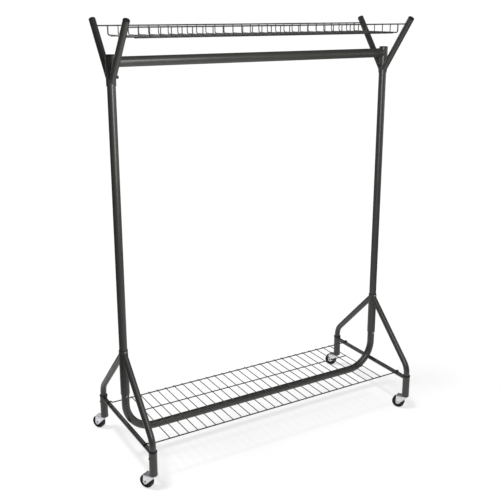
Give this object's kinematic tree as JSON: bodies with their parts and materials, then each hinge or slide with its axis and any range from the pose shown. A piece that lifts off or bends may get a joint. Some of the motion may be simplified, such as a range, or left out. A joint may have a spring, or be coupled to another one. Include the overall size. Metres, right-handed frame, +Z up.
{
  "type": "rolling clothes rack",
  "caption": "Black tubular clothes rack on swivel castors, with a hanging rail, a wire top basket on V-shaped arms and a wire shoe shelf across the base.",
  "frame": {"origin": "on the floor, under the middle of the rack: midway between the uprights and between the front and back feet", "axes": "+X along the hanging rail towards the right end, -Y towards the front, +Z up"},
  "size_m": [1.2774, 0.5787, 1.6956],
  "materials": {
    "frame_paint": "satin black powder coat",
    "wire_paint": "satin black powder coat on wire",
    "cap_plastic": "matte black moulded plastic",
    "screw_zinc": "bright zinc plated",
    "screw_black": "black",
    "castor_zinc": "bright zinc plated pressed sheet",
    "axle_steel": "bright steel rivet",
    "hub_plastic": "black moulded plastic",
    "tyre": "matte black"
  },
  "bodies": {
    "rack": {"left_upright": "frame_paint", "right_upright": "frame_paint", "hanging_rail": "frame_paint", "bottom_rail": "frame_paint", "left_head_socket": "frame_paint", "right_head_socket": "frame_paint", "head_caps": "cap_plastic", "left_front_arm": "frame_paint", "left_back_arm": "frame_paint", "right_front_arm": "frame_paint", "right_back_arm": "frame_paint", "arm_end_caps": "cap_plastic", "left_sleeve": "frame_paint", "right_sleeve": "frame_paint", "left_front_leg": "frame_paint", "left_back_leg": "frame_paint", "right_front_leg": "frame_paint", "right_back_leg": "frame_paint", "left_front_foot": "frame_paint", "left_back_foot": "frame_paint", "right_front_foot": "frame_paint", "right_back_foot": "frame_paint", "leg_bushes": "cap_plastic", "left_crossbar": "frame_paint", "right_crossbar": "frame_paint", "shoe_shelf": "wire_paint", "top_basket": "wire_paint", "head_thumb_screws": "screw_black", "sleeve_screws": "screw_zinc", "bottom_rail_screws": "screw_zinc", "foot_screws": "screw_black", "castor_inserts": "cap_plastic", "left_front_castor_stem": "castor_zinc", "left_back_castor_stem": "castor_zinc", "right_front_castor_stem": "castor_zinc", "right_back_castor_stem": "castor_zinc"},
    "left_front_castor": {"left_front_fork": "castor_zinc", "left_front_axle": "axle_steel"},
    "left_front_wheel": {"left_front_hub": "hub_plastic", "left_front_tyre": "tyre"},
    "left_back_castor": {"left_back_fork": "castor_zinc", "left_back_axle": "axle_steel"},
    "left_back_wheel": {"left_back_hub": "hub_plastic", "left_back_tyre": "tyre"},
    "right_front_castor": {"right_front_fork": "castor_zinc", "right_front_axle": "axle_steel"},
    "right_front_wheel": {"right_front_hub": "hub_plastic", "right_front_tyre": "tyre"},
    "right_back_castor": {"right_back_fork": "castor_zinc", "right_back_axle": "axle_steel"},
    "right_back_wheel": {"right_back_hub": "hub_plastic", "right_back_tyre": "tyre"}
  },
  "joints": [
    {"name": "left_front_swivel", "type": "hinge", "parent": "rack", "child": "left_front_castor", "pos_m": [-0.61, -0.255, 0.061], "axis": [0, 0, 1], "continuous": true},
    {"name": "left_front_roll", "type": "hinge", "parent": "left_front_castor", "child": "left_front_wheel", "pos_m": [-0.62678, -0.23013, 0.027], "axis": [-0.829, -0.5592, 0], "continuous": true},
    {"name": "left_back_swivel", "type": "hinge", "parent": "rack", "child": "left_back_castor", "pos_m": [-0.61, 0.255, 0.061], "axis": [0, 0, 1], "continuous": true},
    {"name": "left_back_roll", "type": "hinge", "parent": "left_back_castor", "child": "left_back_wheel", "pos_m": [-0.62678, 0.27987, 0.027], "axis": [-0.829, -0.5592, 0], "continuous": true},
    {"name": "right_front_swivel", "type": "hinge", "parent": "rack", "child": "right_front_castor", "pos_m": [0.61, -0.255, 0.061], "axis": [0, 0, 1], "continuous": true},
    {"name": "right_front_roll", "type": "hinge", "parent": "right_front_castor", "child": "right_front_wheel", "pos_m": [0.59322, -0.23013, 0.027], "axis": [-0.829, -0.5592, 0], "continuous": true},
    {"name": "right_back_swivel", "type": "hinge", "parent": "rack", "child": "right_back_castor", "pos_m": [0.61, 0.255, 0.061], "axis": [0, 0, 1], "continuous": true},
    {"name": "right_back_roll", "type": "hinge", "parent": "right_back_castor", "child": "right_back_wheel", "pos_m": [0.59322, 0.27987, 0.027], "axis": [-0.829, -0.5592, 0], "continuous": true}
  ]
}
